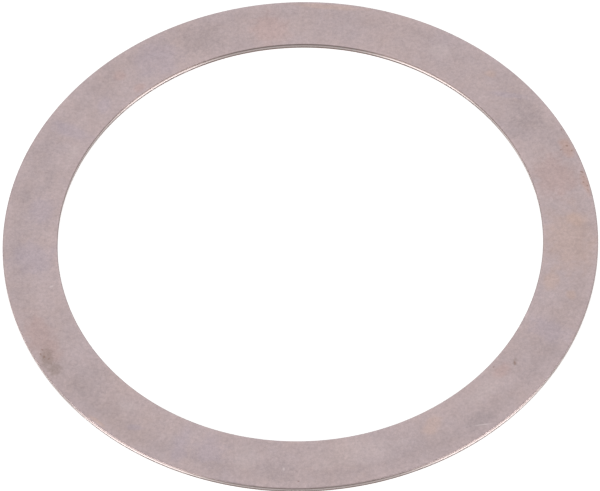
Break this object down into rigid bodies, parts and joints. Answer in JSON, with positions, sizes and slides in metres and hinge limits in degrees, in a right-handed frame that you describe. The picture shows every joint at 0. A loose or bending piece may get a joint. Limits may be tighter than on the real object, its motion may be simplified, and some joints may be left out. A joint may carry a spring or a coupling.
{
  "type": "shim ring",
  "caption": "Thin flat steel ring that fills a small axial gap between a shaft shoulder or bearing and its housing.",
  "frame": {"origin": "on the ring's axis, in the plane of the face that it lies on", "axes": "+Z along the ring's axis, towards the face whose edges roll over; X and Y are free, because the ring is round"},
  "size_m": [0.1046, 0.1046, 0.0012],
  "materials": {
    "cold_rolled_steel": "satin, cold-rolled and tumbled, with a faint warm tarnish"
  },
  "bodies": {
    "root": {"shim_ring": "cold_rolled_steel"}
  },
  "joints": []
}
